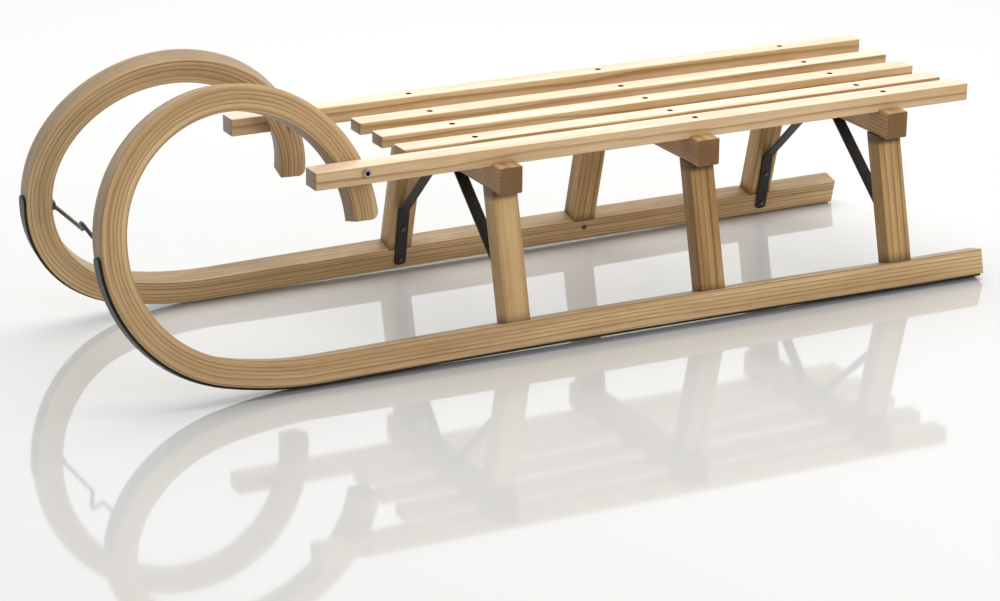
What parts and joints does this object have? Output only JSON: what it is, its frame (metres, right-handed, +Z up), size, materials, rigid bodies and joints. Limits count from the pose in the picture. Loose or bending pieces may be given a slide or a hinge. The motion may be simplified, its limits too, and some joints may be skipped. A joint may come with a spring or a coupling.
{
  "type": "wooden toboggan",
  "caption": "Slatted wooden sledge on bent runners whose curled horns come back to the seat, with steel rails, braces and a pull bar.",
  "frame": {"origin": "on the floor, at the middle of the sledge's bounding box", "axes": "+X forward, towards the curled horns; +Y to the rider's left; +Z up"},
  "size_m": [1.1888, 0.3902, 0.3536],
  "materials": {
    "runner_wood": "clear varnish, satin",
    "leg_wood": "clear varnish, satin",
    "beam_wood": "clear varnish, satin",
    "slat_wood": "clear varnish, satin",
    "rail_steel": "black, satin",
    "brace_steel": "black, satin",
    "bar_steel": "plain",
    "zinc_steel": "zinc plated",
    "screw_steel": "dull"
  },
  "bodies": {
    "root": {"brace_front": "brace_steel", "brace_rear": "brace_steel", "brace_screws_front": "zinc_steel", "brace_screws_rear": "zinc_steel", "crossbeam_front": "beam_wood", "crossbeam_middle": "beam_wood", "crossbeam_rear": "beam_wood", "horn_bolts": "zinc_steel", "horn_nuts": "zinc_steel", "horn_washers": "zinc_steel", "leg_front_left": "leg_wood", "leg_front_right": "leg_wood", "leg_middle_left": "leg_wood", "leg_middle_right": "leg_wood", "leg_rear_left": "leg_wood", "leg_rear_right": "leg_wood", "pull_bar": "bar_steel", "pull_bar_screws": "zinc_steel", "rail_left": "rail_steel", "rail_right": "rail_steel", "rail_screws_left": "zinc_steel", "rail_screws_right": "zinc_steel", "runner_left": "runner_wood", "runner_right": "runner_wood", "runner_screws_middle": "screw_steel", "slat_centre": "slat_wood", "slat_inner_left": "slat_wood", "slat_inner_right": "slat_wood", "slat_outer_left": "slat_wood", "slat_outer_right": "slat_wood", "slat_screws_front": "screw_steel", "slat_screws_middle": "screw_steel", "slat_screws_rear": "screw_steel"}
  },
  "joints": []
}
